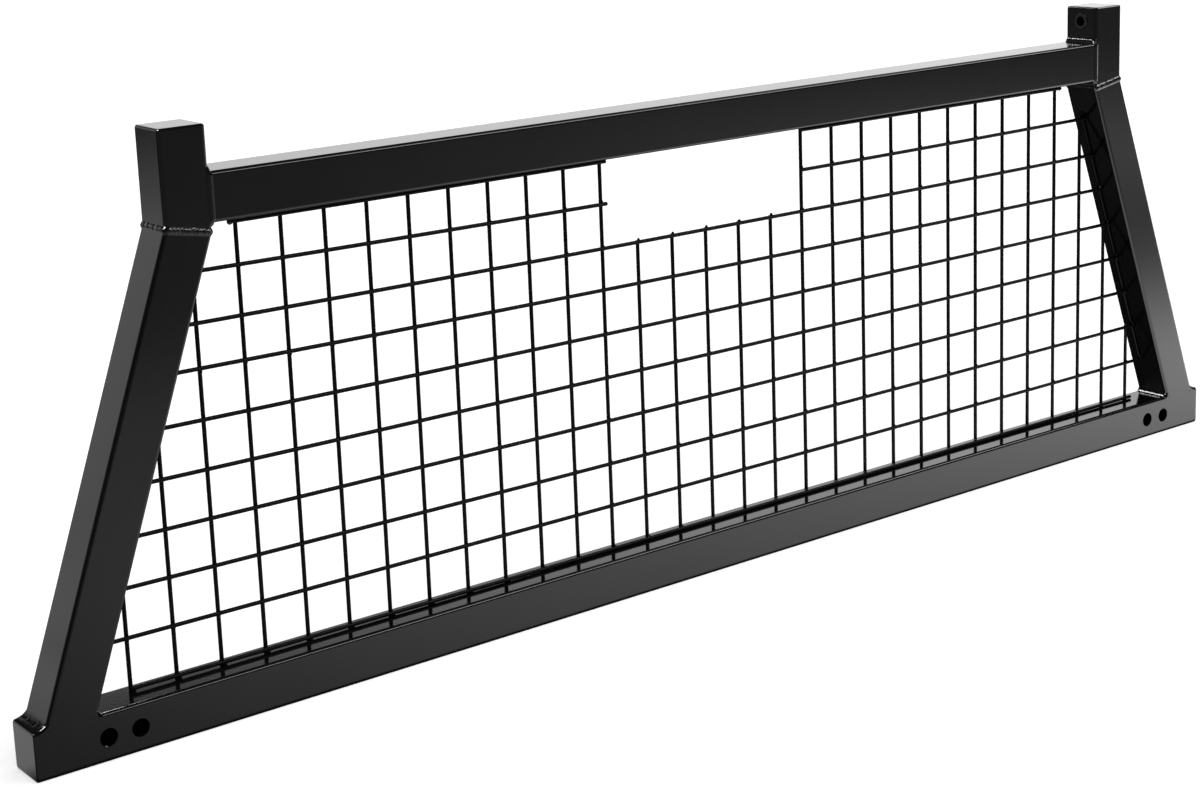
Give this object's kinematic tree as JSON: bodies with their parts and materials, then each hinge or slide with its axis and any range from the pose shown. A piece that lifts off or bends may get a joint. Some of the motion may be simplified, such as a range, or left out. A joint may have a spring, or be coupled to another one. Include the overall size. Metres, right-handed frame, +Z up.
{
  "type": "headache rack",
  "caption": "Truck cab guard: a welded square-tube frame with slanted side posts, short uprights above the top rail and a welded wire mesh with a window cut-out.",
  "frame": {"origin": "middle of the rack's length and depth, on the underside of the bottom rail", "axes": "+X along the rack to the right as seen from the front, -Y out of the front face, +Z up"},
  "size_m": [1.76, 0.0548, 0.6096],
  "materials": {
    "frame": "gloss",
    "mesh": "gloss",
    "welds": "gloss",
    "rubber": "satin"
  },
  "bodies": {
    "root": {"bottom_rail": "frame", "left_rail_cap": "frame", "right_rail_cap": "frame", "left_post": "frame", "right_post": "frame", "left_stub": "frame", "right_stub": "frame", "left_stub_cap": "frame", "right_stub_cap": "frame", "top_rail": "frame", "left_grommet": "rubber", "right_grommet": "rubber", "left_side_rod": "mesh", "right_side_rod": "mesh", "foot_welds": "welds", "shoulder_welds": "welds", "mesh_tack_welds": "welds", "upright_wire_1": "mesh", "upright_wire_2": "mesh", "upright_wire_3": "mesh", "upright_wire_4": "mesh", "upright_wire_5": "mesh", "upright_wire_6": "mesh", "upright_wire_7": "mesh", "upright_wire_8": "mesh", "upright_wire_9": "mesh", "upright_wire_10": "mesh", "upright_wire_11": "mesh", "upright_wire_12": "mesh", "upright_wire_13": "mesh", "upright_wire_14": "mesh", "upright_wire_15": "mesh", "upright_wire_16": "mesh", "upright_wire_17": "mesh", "upright_wire_18": "mesh", "upright_wire_19": "mesh", "upright_wire_20": "mesh", "upright_wire_21": "mesh", "upright_wire_22": "mesh", "upright_wire_23": "mesh", "upright_wire_24": "mesh", "upright_wire_25": "mesh", "upright_wire_26": "mesh", "upright_wire_27": "mesh", "upright_wire_28": "mesh", "upright_wire_29": "mesh", "upright_wire_30": "mesh", "upright_wire_31": "mesh", "cross_wire_3": "mesh", "cross_wire_4": "mesh", "cross_wire_5": "mesh", "cross_wire_6": "mesh", "cross_wire_7": "mesh", "cross_wire_8": "mesh", "cross_wire_9": "mesh", "cross_wire_10": "mesh", "cross_wire_1_left": "mesh", "cross_wire_1_right": "mesh", "cross_wire_2_left": "mesh", "cross_wire_2_right": "mesh"}
  },
  "joints": []
}
